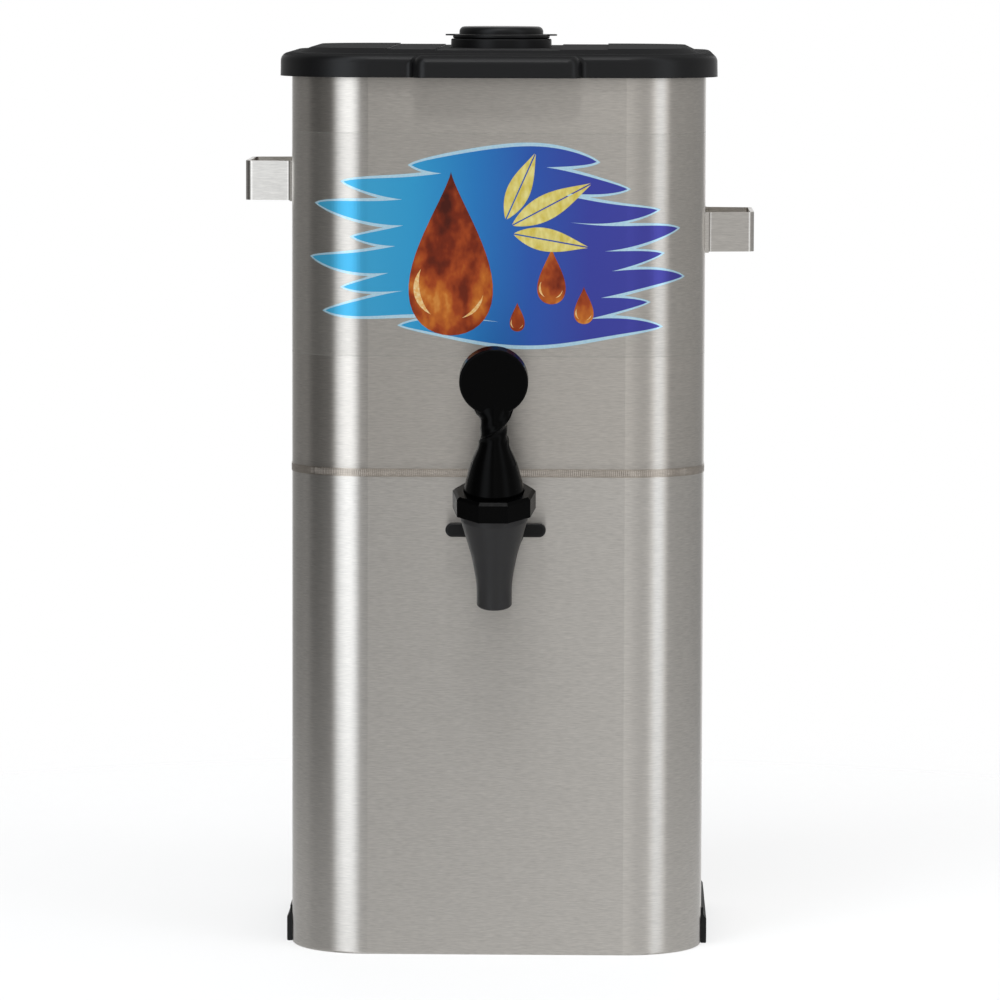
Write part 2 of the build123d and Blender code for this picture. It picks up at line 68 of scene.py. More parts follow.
# Neighbouring waves cross, so each ink of theirs has two layers that take turns
PALE_INK = ((0.07 * MM, 0.08 * MM), (0.09 * MM, 0.10 * MM))
BLUE_INK = ((0.11 * MM, 0.12 * MM), (0.13 * MM, 0.14 * MM))
TEA_INK = (0.15 * MM, 0.16 * MM)
LIGHT_INK = (0.17 * MM, 0.18 * MM)
LEAF_INK = (0.19 * MM, 0.20 * MM)
# How far the film reaches round the bends, and the strips along its edges, painted as highlights
# where the cut edges catch the light
FILM_WRAP_DEGREES = 88
FILM_EDGE = 0.7 * MM
# The longest step across the label, so that its pieces bend with the wall
LONGEST_STEP = 2.0 * MM
# Half the height that a wave keeps at its pointed ends
LEAST_HALF = 0.1 * MM
# How far the pale ink stands out around the blue, and the length in which the sway of a wave
# turns by one radian
HALO = 2.2 * MM
SWAY_LENGTH = 21 * MM
# From the sprig's knot to the foot of each leaf, and half the width of a leaf's midrib
LEAF_STALK = 8 * MM
HALF_RIB = 0.4 * MM

# The weld's ripples: each is a flat ridge across the seam that covers most of its width, and
# their sizes vary between two shares of the full one
RIPPLE_PITCH = 1.15 * MM
RIPPLE_LENGTH = 0.95 * MM
RIPPLE_RISE = 0.17 * MM
RIPPLE_COVER = 0.96
RIPPLE_SHARES = (0.8, 1.0)
RIPPLE_SEED = 7
# How much of the light the heat takes from the sheet above the seam, and how high it reaches
HAZE_LOSS = 0.09
HAZE_RISE = 6 * MM

# The camera, as the photograph was taken: its place in metres and degrees, its focal length
# in pixels, and its sensor's width in mm
CAMERA_DISTANCE = 3.526
CAMERA_AZIMUTH = 1.1
CAMERA_HEIGHT = 0.589
CAMERA_PITCH = 5.337
CAMERA_ROLL = 0.17
PIXELS = 1000
FOCAL_PIXELS = 5829.6
SENSOR = 36.0

# How rough the steel is, how much of that the level brushing turns up and down, and the share
# of a full turn that lays the brushing level
STEEL_ROUGHNESS = 0.29
STEEL_BRUSHING = 0.92
BRUSHING_TURN = 0.25
# The belt's scratches along X, Y and Z, and how much they lighten and darken. The real ones
# are finer than the picture shows, so they are drawn coarser here
FINE_SCRATCH = (5 * MM, 5 * MM, 0.4 * MM)
FINE_CONTRAST = 0.1
LONG_SCRATCH = (24 * MM, 24 * MM, 0.8 * MM)
LONG_CONTRAST = 0.03

# How deep the fine marks on metals and polymers are, and how strongly those on metals show
MARK_DEPTH = 0.05 * MM
METAL_RELIEF = 0.08
# The grain that a mould leaves is finer than the picture shows, so it is drawn about as wide
# as a pixel of it
MOULD_GRAIN = 0.6 * MM
# The upward part of a face's normal from which it takes the coarser texture of the lid's top,
# and where it has all of it
TOP_FACES = (0.6, 0.95)

# The panels of the studio from this level up are the bright ones, and cooler than the room
BRIGHT_PANEL_LEVEL = 1.2
BRIGHT_PANEL_TINT = (0.975, 1.02, 1.075)
# From the middle of the body to each lamp
LAMP_DISTANCE = 2.2

FLOOR_RADIUS = 1.1
# The shares of the radius between which the floor fades into the white room
FLOOR_FADE = (0.35, 0.95)
# What the floor gives off by itself, so that it is white while its shadow still shows, how
# much of that the steel mirrors, and how much of the white room below it the floor covers
FLOOR_GLOW = 0.40
FLOOR_MIRRORED = 0.5
FLOOR_COVER = 0.6


def linear(code):
    """An sRGB hex colour as the linear values that a shader takes."""
    channels = [int(code[i : i + 2], 16) / 255 for i in (0, 2, 4)]
    return [c / 12.92 if c <= 0.04045 else ((c + 0.055) / 1.055) ** 2.4 for c in channels] + [1.0]


def fill(tree, target, sockets):
    """Gives a node's sockets their constants and links."""
    for name, value in sockets.items():
        if isinstance(value, bpy.types.NodeSocket):
            tree.links.new(value, target.inputs[name])
        else:
            target.inputs[name].default_value = value


def node(tree, kind, sockets=None, **settings):
    """Adds a node with its settings, constants and links."""
    made = tree.nodes.new(kind)
    for name, value in settings.items():
        setattr(made, name, value)
    fill(tree, made, sockets or {})
    return made


def material(name, **sockets):
    """A new material, its node tree and its shader, with constants set on the shader."""
    made = bpy.data.materials.new(name)
    made.use_nodes = True
    tree = made.node_tree
    shader = tree.nodes["Principled BSDF"]
    fill(tree, shader, {socket.replace("_", " "): value for socket, value in sockets.items()})
    return made, tree, shader


def own_place(tree):
    """A point's X, Y and Z on the piece itself."""
    place = node(tree, "ShaderNodeTexCoord").outputs["Object"]
    return node(tree, "ShaderNodeSeparateXYZ", {"Vector": place}).outputs


def noise(tree, size, detail=2.0):
    """A pattern on the piece's own coordinates: size is the grain's length along X, Y and Z."""
    place = node(tree, "ShaderNodeTexCoord").outputs["Object"]
    grain = node(tree, "ShaderNodeMapping", {"Vector": place, "Scale": [1 / s for s in size]})
    made = node(
        tree, "ShaderNodeTexNoise", {"Vector": grain.outputs[0], "Scale": 1.0, "Detail": detail}
    )
    return made.outputs[0]


def spread(tree, value, low, high):
    """The middle of a noise's range as values from low to high."""
    made = node(
        tree,
        "ShaderNodeMapRange",
        {"Value": value, "From Min": 0.3, "From Max": 0.7, "To Min": low, "To Max": high},
    )
    return made.outputs[0]


def brush_level(tree, shader):
    """Brushing that runs level around the body, and so draws each highlight out up and down."""
    way = node(tree, "ShaderNodeTangent", direction_type="RADIAL", axis="Z")
    brushing = {
        "Roughness": STEEL_ROUGHNESS,
        "Anisotropic": STEEL_BRUSHING,
        "Anisotropic Rotation": BRUSHING_TURN,
        "Tangent": way.outputs[0],
    }
    fill(tree, shader, brushing)


def brushed_stainless(name, colour, rub=1.0):
    """Type 304 sheet, brushed with a belt: rub says how strongly its scratches show."""
    made, tree, shader = material(name, Metallic=1.0, Base_Color=linear(colour))
    brush_level(tree, shader)
    fine = noise(tree, FINE_SCRATCH)
    long = noise(tree, LONG_SCRATCH)
    both = node(
        tree,
        "ShaderNodeMath",
        {
            0: spread(tree, fine, 1 - FINE_CONTRAST * rub, 1 + FINE_CONTRAST * rub),
            1: spread(tree, long, 1 - LONG_CONTRAST * rub, 1 + LONG_CONTRAST * rub),
        },
        operation="MULTIPLY",
    )
    shade = node(
        tree,
        "ShaderNodeVectorMath",
        {0: linear(colour)[:3], "Scale": both.outputs[0]},
        operation="SCALE",
    )
    rough = spread(tree, fine, STEEL_ROUGHNESS - 0.01, STEEL_ROUGHNESS + 0.01)
    fill(tree, shader, {"Base Color": shade.outputs[0], "Roughness": rough})
    return made


def heat_haze(finish):
    """The weld's heat dulls the sheet above the seam, and less and less further up."""
    tree = finish.node_tree
    shader = tree.nodes["Principled BSDF"]
    brushed = shader.inputs["Base Color"].links[0].from_socket
    kept = node(
        tree,
        "ShaderNodeMapRange",
        {
            "Value": own_place(tree)["Z"],
            "From Min": seam_high.z,
            "From Max": seam_high.z + HAZE_RISE,
            "To Min": 1 - HAZE_LOSS,
            "To Max": 1.0,
        },
        interpolation_type="SMOOTHSTEP",
    )
    dulled = node(
        tree, "ShaderNodeVectorMath", {0: brushed, "Scale": kept.outputs[0]}, operation="SCALE"
    )
    fill(tree, shader, {"Base Color": dulled.outputs[0]})


def worked_metal(name, colour, roughness, size):
    """Bare metal without the body's level brushing: its fine marks blur what it mirrors."""
    made, tree, shader = material(
        name, Metallic=1.0, Base_Color=linear(colour), Roughness=roughness
    )
    marks = noise(tree, size)
    rough = spread(tree, marks, roughness - 0.04, roughness + 0.04)
    bump = node(
        tree, "ShaderNodeBump", {"Height": marks, "Strength": METAL_RELIEF, "Distance": MARK_DEPTH}
    )
    fill(tree, shader, {"Roughness": rough, "Normal": bump.outputs[0]})
    return made


def polymer(
    name, colour, roughness, specular=0.3, grain=MOULD_GRAIN, relief=0.15, coarse_top=0.0
):
    """A plastic or a rubber, with the fine grain that its mould or tool leaves.

    Coarse_top is how much rougher the faces that look up are than the sides.
    """
    made, tree, shader = material(
        name, Base_Color=linear(colour), Roughness=roughness, Specular_IOR_Level=specular
    )
    marks = noise(tree, [grain] * 3)
    rough = spread(tree, marks, roughness * 0.9, roughness * 1.1)
    if coarse_top:
        facing = node(tree, "ShaderNodeTexCoord").outputs["Normal"]
        coarser = node(
            tree,
            "ShaderNodeMapRange",
            {
                "Value": node(tree, "ShaderNodeSeparateXYZ", {"Vector": facing}).outputs["Z"],
                "From Min": TOP_FACES[0],
                "From Max": TOP_FACES[1],
                "To Max": coarse_top,
            },
        )
        rough = node(
            tree, "ShaderNodeMath", {0: rough, 1: coarser.outputs[0]}, operation="ADD"
        ).outputs[0]
    bump = node(
        tree, "ShaderNodeBump", {"Height": marks, "Strength": relief, "Distance": MARK_DEPTH}
    )
    fill(tree, shader, {"Roughness": rough, "Normal": bump.outputs[0]})
    return made


def set_stops(blend, stops):
    """Gives a colour ramp its stops: (place, linear colour) pairs, the lowest place first."""
    colours = blend.color_ramp.elements
    while len(colours) > 1:
        colours.remove(colours[-1])
    for order, (place, colour) in enumerate(stops):
        stop = colours[0] if order == 0 else colours.new(place)
        stop.position = place
        stop.color = colour


def shades(tree, value, stops):
    """A colour for each value: stops are (place, hex colour) pairs."""
    made = node(tree, "ShaderNodeValToRGB", {"Fac": value})
    set_stops(made, [(place, linear(code)) for place, code in stops])
    return made.outputs[0]


def printed_ink(name, pick_colour, metallic=0.45):
    """Screen print on clear film over steel: the steel's bright bands still show in the ink."""
    made, tree, shader = material(name, Metallic=metallic, Specular_IOR_Level=0.3)
    brush_level(tree, shader)
    fill(tree, shader, {"Base Color": pick_colour(tree)})
    return made


def sea_colour(tree):
    """From a light cyan at the left of the label to an indigo at its right."""
    across = node(
        tree,
        "ShaderNodeMapRange",
        {"Value": own_place(tree)["X"], "From Min": label_low.x, "From Max": label_high.x},
    )
    return shades(
        tree,
        across.outputs[0],
        [
            (0.05, "4fb9e2"),
            (0.30, "3aa6dc"),
            (0.45, "2f83cc"),
            (0.58, "345fb8"),
            (0.72, "4149a8"),
            (0.95, "4a46a4"),
        ],
    )


def pale_colour(tree):
    """The pale blue around the waves, faintly mottled."""
    grain = noise(tree, [1.2 * MM] * 3)
    return shades(tree, grain, [(0.35, "b4dcef"), (0.65, "c4e4f2")])


def tea_colour(tree):
    """Tea in the light: deep brown above, amber below, with soft lights a few millimetres wide."""
    depth = node(
        tree,
        "ShaderNodeMapRange",
        {
            "Value": own_place(tree)["Z"],
            "From Min": label_low.z,
            "From Max": label_high.z,
            "To Min": 0.62,
            "To Max": 0.18,
        },
    )
    swirl = noise(tree, (11 * MM, 11 * MM, 16 * MM), detail=3.0)
    both = node(
        tree,
        "ShaderNodeMath",
        {0: depth.outputs[0], 1: spread(tree, swirl, -0.28, 0.28)},
        operation="ADD",
    )
    return shades(
        tree,
        both.outputs[0],
        [(0.05, "4a1508"), (0.3, "7e2a0e"), (0.5, "a8461a"), (0.7, "c96f26"), (0.9, "e8a650")],
    )


def light_colour(tree):
    """The amber light in the drops, faintly mottled."""
    grain = noise(tree, [2 * MM] * 3)
    return shades(tree, grain, [(0.35, "eeb566"), (0.65, "f6d9a0")])


def leaf_colour(tree):
    """A leaf's yellow, mottled a few millimetres wide."""
    grain = noise(tree, (3 * MM, 3 * MM, 6 * MM))
    return shades(tree, grain, [(0.30, "d8c250"), (0.70, "ece08e")])


def clear_film(name, alpha):
    """Clear polyester film: only a faint grey over the steel, with a satin gloss."""
    made, tree, shader = material(
        name, Base_Color=linear("b8b6b0"), Roughness=0.3, Alpha=alpha, Specular_IOR_Level=0.3
    )
    grain = noise(tree, [2 * MM] * 3)
    fill(tree, shader, {"Roughness": spread(tree, grain, 0.26, 0.34)})
    return made


def paint(finish, *names):
    """Gives pieces of the frame a finish."""
    for name in names:
        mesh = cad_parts[name].data
        mesh.materials.clear()
        mesh.materials.append(finish)


def piece(name, shape, finish, body):
    """Makes an object of a bmesh, with its faces outwards, and lets it ride on a body."""
    bmesh.ops.recalc_face_normals(shape, faces=shape.faces)
    mesh = bpy.data.meshes.new(name)
    shape.to_mesh(mesh)
    shape.free()
    mesh.materials.append(finish)
    made = bpy.data.objects.new(name, mesh)
    bpy.context.scene.collection.objects.link(made)
    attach(made, body)
    return made


def on_wall(across, depth, height):
    """A place on the front wall, which goes round the corners: across is measured on the wall."""
    turn = max(abs(across) - FLAT_HALF, 0) / BODY_CORNER
    bend = BODY_CORNER + depth
    x = min(abs(across), FLAT_HALF) + bend * math.sin(turn)
    y = BODY_CORNER - BODY_DEPTH / 2 - bend * math.cos(turn)
    return Vector((math.copysign(x, across), y, height))


def add_patch(shape, stations, layer):
    """Adds a closed patch of film or ink: at each place across, its low and high edges."""
    near, far = layer
    rings = [
        [
            shape.verts.new(on_wall(across, depth, height))
            for depth, height in ((near, low), (near, high), (far, high), (far, low))
        ]
        for across, low, high in stations
    ]
    for one, two in zip(rings, rings[1:]):
        for k in range(4):
            shape.faces.new((one[k], one[k - 1], two[k - 1], two[k]))
    shape.faces.new(rings[0])
    shape.faces.new(rings[-1])


def between(start, end):
    """Even places from start to end, no further apart than the longest step."""
    count = math.ceil((end - start) / LONGEST_STEP)
    return [start + (end - start) * k / count for k in range(count + 1)]


def wave(start, end, height, half, swing, phase, grow=0.0):
    """A flowing band with two pointed ends, as stations: it swells and sways along its length."""
    stations = []
    for across in between(start - grow, end + grow):
        share = 2 * (across - start + grow) / (end - start + 2 * grow) - 1
        # The powers keep the band full along its middle and close it quickly at its ends
        body = max(1 - abs(share) ** 2.6, 0) ** 0.75
        sway = swing * math.sin(across / SWAY_LENGTH + phase)
        thick = max((half + grow) * body, LEAST_HALF)
        stations.append((across, height + sway - thick, height + sway + thick))
    return stations


def add_flat_print(shape, outline, layer):
    """Adds a closed patch of ink with any outline, for the flat middle of the label."""
    near, far = ([shape.verts.new(on_wall(a, depth, h)) for a, h in outline] for depth in layer)
    shape.faces.new(near)
    shape.faces.new(far)
    for k in range(len(outline)):
        shape.faces.new((near[k - 1], near[k], far[k], far[k - 1]))


def set_on_label(outline, middle, degrees=0.0):
    """An outline about its own origin, turned and set on the label."""
    cos, sin = math.cos(math.radians(degrees)), math.sin(math.radians(degrees))
    return [(middle[0] + a * cos - h * sin, middle[1] + a * sin + h * cos) for a, h in outline]


def drop(half, tall, steps=48):
    """A falling drop about its middle: a round foot that draws out to a tip above."""
    outline = []
    for k in range(steps):
        angle = 2 * math.pi * k / steps
        # The power draws out the tip, and the factor gives back the width that it takes
        wide = 1.28 * math.sin(angle) * abs(math.sin(angle / 2)) ** 1.6
        outline.append((half * wide, tall / 2 * math.cos(angle)))
    return outline


def glint(radius, width, start, end, steps=20):
    """A crescent of light along a circle, between two angles in degrees."""
    outside = [(1, k / steps) for k in range(steps + 1)]
    inside = [(-1, 1 - k / steps) for k in range(1, steps)]
    outline = []
    for side, share in outside + inside:
        angle = math.radians(start + (end - start) * share)
        away = radius + side * width / 2 * math.sin(math.pi * share)
        outline.append((away * math.cos(angle), away * math.sin(angle)))
    return outline


def half_leaf(length, half, side, steps=24):
    """One side of a leaf along its midrib: the gap between the two sides is the rib."""
    gap = HALF_RIB * side
    outline = [(length * k / steps, gap) for k in range(steps + 1)]
    for k in range(steps - 1, 0, -1):
        share = k / steps
        # The powers make the leaf widest before its middle and point its tip
        wide = half * math.sin(math.pi * share**0.8) ** 1.1
        outline.append((length * share, gap + side * wide))
    return outline


def label_piece(name, shape, finish):
    """Makes a piece of the label's film or print."""
    return piece(name, shape, finish, "tank")


def film():
    """The clear film, and the strips along its low and high edges, painted as highlights."""
    reach = FLAT_HALF + BODY_CORNER * math.radians(FILM_WRAP_DEGREES)
    whole = between(-reach, reach)
    low_edge, high_edge = label_low.z + FILM_EDGE, label_high.z - FILM_EDGE
    sheet, edges = bmesh.new(), bmesh.new()
    add_patch(sheet, [(a, low_edge, high_edge) for a in whole], FILM)
    for low, high in ((label_low.z, low_edge), (high_edge, label_high.z)):
        add_patch(edges, [(a, low, high) for a in whole], FILM)
    made = label_piece("label_film", sheet, clear_film("clear_polyester_film", 0.03))
    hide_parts("label_sheet")
    # Painted highlight: the edge strips are greyer, more opaque film that stands in for the light
    # that the cut edges catch
    label_piece("label_film_painted_edge_highlights", edges, clear_film("film_edge_painted_highlight", 0.07))


def printed_waves():
    """Waves from cyan to indigo across the label, each with a pale halo."""
    # Start, end, height above the label's middle, half height, sway and its phase, all in mm
    waves = [
        (-50, 58, 49.0, 6.6, 2.6, 0.4),
        (-90, 76, 36.0, 8.0, 3.0, 0.9),
        (-108, 94, 22.0, 8.6, 3.2, 1.4),
        (-84, 108, 7.5, 8.8, 3.4, 1.9),
        (-112, 97, -7.0, 8.8, 3.4, 2.4),
        (-90, 112, -21.5, 8.6, 3.4, 2.9),
        (-102, 88, -36.0, 8.0, 3.0, 3.4),
        (-56, 96, -49.5, 6.6, 2.6, 3.9),
    ]
    pale, blue = bmesh.new(), bmesh.new()
    for order, (start, end, height, half, swing, phase) in enumerate(waves):
        sizes = (start * MM, end * MM, LABEL_MIDDLE + height * MM, half * MM, swing * MM, phase)
        add_patch(pale, wave(*sizes, grow=HALO), PALE_INK[order % 2])
        add_patch(blue, wave(*sizes), BLUE_INK[order % 2])
    label_piece("label_pale_print", pale, printed_ink("pale_blue_ink", pale_colour))
    label_piece("label_blue_print", blue, printed_ink("sea_blue_ink", sea_colour))


def printed_drops():
    """Drops of tea, each with two crescents of light in its belly."""
    # Each drop's middle from the label's middle, across and up, its half width and its height
    drops = [(-27, -5, 28, 96), (32, -18, 9.5, 33), (51, -35, 6.5, 22), (12, -42, 5.0, 17)]
    # Radius and width as shares of the drop's half width, and the angles where each ends
    crescents = [(0.72, 0.13, 150, 235), (0.70, 0.07, -70, -15)]
    tea, light = bmesh.new(), bmesh.new()
    for across, height, half, tall in drops:
        middle = (across * MM, LABEL_MIDDLE + height * MM)
        add_flat_print(tea, set_on_label(drop(half * MM, tall * MM), middle), TEA_INK)
        # The round belly sits a fifth of the height below the middle
        belly = (middle[0], middle[1] - 0.2 * tall * MM)
        for radius, width, start, end in crescents:
            crescent = glint(radius * half * MM, width * half * MM, start, end)
            add_flat_print(light, set_on_label(crescent, belly), LIGHT_INK)
    tea_ink = printed_ink("tea_brown_ink", tea_colour, metallic=0.2)
    light_ink = printed_ink("tea_light_ink", light_colour, metallic=0.2)
    label_piece("label_tea_print", tea, tea_ink)
    label_piece("label_light_print", light, light_ink)


def printed_leaves():
    """A sprig of three leaves."""
    # The sprig's knot, and each leaf's turn in degrees, its length and its half width
    knot = (2 * MM, LABEL_MIDDLE + 8 * MM)
    leaves = bmesh.new()
    for turn, length, half in ((66, 42, 6.4), (28, 52, 7.0), (-10, 44, 6.4)):
        foot = set_on_label([(LEAF_STALK, 0)], knot, turn)[0]
        for side in (1, -1):
            outline = half_leaf(length * MM, half * MM, side)
            add_flat_print(leaves, set_on_label(outline, foot, turn), LEAF_INK)
    leaf_ink = printed_ink("leaf_yellow_ink", leaf_colour, metallic=0.15)
    label_piece("label_leaf_print", leaves, leaf_ink)


def ripple_tree(values, finish):
    """Geometry Nodes that set one small ridge after another all around the body.

    Gives the tree, and the identifier of each input under its name.
    """
    tree = bpy.data.node_groups.new("weld_ripples", "GeometryNodeTree")
    inputs = {}
    for name, value in values.items():
        kind = "NodeSocketInt" if isinstance(value, int) else "NodeSocketFloat"
        made = tree.interface.new_socket(name, in_out="INPUT", socket_type=kind)
        inputs[name] = made.identifier
    tree.interface.new_socket("Geometry", in_out="OUTPUT", socket_type="NodeSocketGeometry")
    given = node(tree, "NodeGroupInput").outputs
    outline = node(
        tree,
        "GeometryNodeCurvePrimitiveQuadrilateral",
        {"Width": given["Width"], "Height": given["Depth"]},
    )
    rounded = node(
        tree,
        "GeometryNodeFilletCurve",
        {
            "Curve": outline.outputs[0],
            "Radius": given["Corner"],
            "Count": 24,
            "Limit Radius": True,
        },
        mode="POLY",
    )
    evenly = node(
        tree,
        "GeometryNodeResampleCurve",
        {"Curve": rounded.outputs[0], "Length": given["Pitch"]},
        mode="LENGTH",
    )
    # The round ridge is 1 across, so that its scale is its size
    ridge = node(tree, "GeometryNodeMeshUVSphere", {"Segments": 8, "Rings": 6, "Radius": 0.5})
    along = node(
        tree,
        "FunctionNodeAlignRotationToVector",
        {"Vector": node(tree, "GeometryNodeInputTangent").outputs[0]},
        axis="X",
    )
    size = node(
        tree, "ShaderNodeCombineXYZ", {"X": given["Length"], "Y": given["Rise"], "Z": given["Band"]}
    )
    # Sockets 2 and 3 are the least and the most, and output 1 is the number drawn
    vary = node(
        tree,
        "FunctionNodeRandomValue",
        {2: RIPPLE_SHARES[0], 3: RIPPLE_SHARES[1], "Seed": given["Seed"]},
        data_type="FLOAT",
    )
    scale = node(
        tree,
        "ShaderNodeVectorMath",
        {0: size.outputs[0], "Scale": vary.outputs[1]},
        operation="SCALE",
    )
    ridges = node(
        tree,
        "GeometryNodeInstanceOnPoints",
        {
            "Points": evenly.outputs[0],
            "Instance": ridge.outputs["Mesh"],
            "Rotation": along.outputs[0],
            "Scale": scale.outputs[0],
        },
    )
    height = node(tree, "ShaderNodeCombineXYZ", {"Z": given["Height"]})
    raised = node(
        tree,
        "GeometryNodeTransform",
        {"Geometry": ridges.outputs[0], "Translation": height.outputs[0]},
    )
    real = node(tree, "GeometryNodeRealizeInstances", {"Geometry": raised.outputs[0]})
    finished = node(
        tree, "GeometryNodeSetMaterial", {"Geometry": real.outputs[0], "Material": finish}
    )
    node(tree, "NodeGroupOutput", {"Geometry": finished.outputs[0]})
    return tree, inputs


def weld_ripples(finish):
    """The ripples of the welded seam, as one plain mesh."""
    values = {
        "Width": BODY_WIDTH + 2 * SEAM_PROUD,
        "Depth": BODY_DEPTH + 2 * SEAM_PROUD,
        "Corner": BODY_CORNER + SEAM_PROUD,
        "Height": (seam_low.z + seam_high.z) / 2,
        "Pitch": RIPPLE_PITCH,
        "Length": RIPPLE_LENGTH,
        "Rise": RIPPLE_RISE,
        "Band": RIPPLE_COVER * (seam_high.z - seam_low.z),
        "Seed": RIPPLE_SEED,
    }
    tree, inputs = ripple_tree(values, finish)
    holder = bpy.data.objects.new("weld_ripples", bpy.data.meshes.new("holder"))
    bpy.context.scene.collection.objects.link(holder)
    modifier = holder.modifiers.new("ripples", "NODES")
    modifier.node_group = tree
    for name, value in values.items():
        modifier[inputs[name]] = value
    graph = bpy.context.evaluated_depsgraph_get()
    mesh = bpy.data.meshes.new_from_object(holder.evaluated_get(graph))
    holder.modifiers.clear()
    holder.data = mesh
    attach(holder, "tank")


def coil_spring(finish):
    """The valve's spring, whose top rests under the bonnet's web, as a merged copy that rides on
    the tank: the real one shortens as the stem rises, this one keeps its length.
    """
    shape = bmesh.new()
    shape.from_mesh(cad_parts["stem_spring"].data)
    # A node's mesh is loose triangles, so the copy is merged first
    bmesh.ops.remove_doubles(shape, verts=shape.verts, dist=0.001 * MM)
    made = piece("coil_spring", shape, finish, "tank")
    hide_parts("stem_spring")
    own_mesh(made)


def studio():
    """A white room for the camera, and for the steel the panels that the studio had."""
    world = bpy.data.worlds.new("studio")
    bpy.context.scene.world = world
    world.use_nodes = True
    tree = world.node_tree
    way = node(tree, "ShaderNodeTexCoord").outputs["Generated"]
    parts = node(tree, "ShaderNodeSeparateXYZ", {"Vector": way})
    front = node(tree, "ShaderNodeMath", {0: parts.outputs["Y"], 1: -1.0}, operation="MULTIPLY")
    turn = node(
        tree, "ShaderNodeMath", {0: parts.outputs["X"], 1: front.outputs[0]}, operation="ARCTAN2"
    )
    share = node(
        tree,
        "ShaderNodeMapRange",
        {"Value": turn.outputs[0], "From Min": -math.pi, "From Max": math.pi},
    )
    panels = node(tree, "ShaderNodeValToRGB", {"Fac": share.outputs[0]})
    # Angles from straight in front, to the left below zero, with how bright the room is there
    levels = [
        (-180, 1.00),
        (-168, 0.90),
        (-158, 0.34),
        (-130, 0.25),
        (-105, 0.25),
        (-93, 0.12),
        (-82, 0.11),
        (-70, 0.15),
        (-59, 0.15),
        (-54, 0.42),
        (-48, 1.25),
        (-42, 1.62),
        (-36, 1.86),
        (-27, 1.90),
        (-21, 1.38),
        (-14, 0.40),
        (-8, 0.33),
        (-3, 0.28),
        (-1, 0.27),
        (-0.5, 0.86),
        (5, 0.78),
        (11, 0.68),
        (25, 0.57),
        (36, 0.60),
        (41, 1.00),
        (47, 1.40),
        (55, 1.42),
        (62, 1.00),
        (67, 0.46),
        (105, 0.43),
        (150, 0.36),
        (166, 0.90),
    ]
    stops = []
    for angle, level in levels:
        tint = BRIGHT_PANEL_TINT if level >= BRIGHT_PANEL_LEVEL else (1, 1, 1)
        stops.append(((angle + 180) / 360, [level * part for part in tint] + [1]))
    # A ramp holds values above 1 as they are
    set_stops(panels, stops)
    path = node(tree, "ShaderNodeLightPath")
    room = tree.nodes["Background"]
    fill(tree, room, {"Color": panels.outputs[0]})
    white = node(tree, "ShaderNodeBackground", {"Color": (1, 1, 1, 1), "Strength": 1.0})
    mixed = node(
        tree,
        "ShaderNodeMixShader",
        {0: path.outputs["Is Camera Ray"], 1: room.outputs[0], 2: white.outputs[0]},
    )
    fill(tree, tree.nodes["World Output"], {"Surface": mixed.outputs[0]})


def softbox(name, azimuth, elevation, size, radiance):
    """A square lamp high in front, for the lid's top and the points of light on edges."""
    lamp = bpy.data.lights.new(name, "AREA")
    lamp.shape = "SQUARE"
    lamp.size = size
    # A flat lamp gives off pi times its radiance from each unit of its area
    lamp.energy = radiance * math.pi * size**2
    made = bpy.data.objects.new(name, lamp)
    bpy.context.scene.collection.objects.link(made)
    turn, rise = math.radians(azimuth), math.radians(elevation)
    middle = Vector((0, 0, (shell_low.z + label_high.z) / 2))
    level = math.cos(rise)
    way = Vector((math.sin(turn) * level, -math.cos(turn) * level, math.sin(rise)))
    made.location = middle + LAMP_DISTANCE * way
    made.rotation_euler = (-way).to_track_quat("-Z", "Y").to_euler()
    made.visible_camera = False


def floor():
    """A pale round floor that keeps the object's shadow and fades into the white room."""
    shape = bmesh.new()
    bmesh.ops.create_circle(shape, cap_ends=True, radius=FLOOR_RADIUS, segments=96)
    mesh = bpy.data.meshes.new("floor")
    shape.to_mesh(mesh)
    shape.free()
    made = bpy.data.objects.new("floor", mesh)
    bpy.context.scene.collection.objects.link(made)
    # Matt paper, so that nothing is mirrored in it
    finish, tree, shader = material(
        "matt_paper_floor",
        Base_Color=linear("f2f2f2"),
        Roughness=0.9,
        Specular_IOR_Level=0.0,
        Emission_Color=(1, 1, 1, 1),
    )
    mesh.materials.append(finish)
    path = node(tree, "ShaderNodeLightPath")
    seen = path.outputs["Is Camera Ray"]
    mirrored = node(
        tree,
        "ShaderNodeMath",
        {0: path.outputs["Is Glossy Ray"], 1: FLOOR_MIRRORED},
        operation="MULTIPLY",
    )
    for share in (mirrored.outputs[0], path.outputs["Is Transmission Ray"]):
        seen = node(tree, "ShaderNodeMath", {0: seen, 1: share}, operation="MAXIMUM").outputs[0]
    glow = node(tree, "ShaderNodeMath", {0: seen, 1: FLOOR_GLOW}, operation="MULTIPLY")
    place = node(tree, "ShaderNodeTexCoord").outputs["Object"]
    away = node(tree, "ShaderNodeVectorMath", {0: place}, operation="LENGTH")
    fade = node(
        tree,
        "ShaderNodeMapRange",
        {
            "Value": away.outputs["Value"],
            "From Min": FLOOR_FADE[0] * FLOOR_RADIUS,
            "From Max": FLOOR_FADE[1] * FLOOR_RADIUS,
            "To Min": FLOOR_COVER,
            "To Max": 0.0,
        },
        interpolation_type="SMOOTHSTEP",
    )
    fill(tree, shader, {"Emission Strength": glow.outputs[0], "Alpha": fade.outputs[0]})


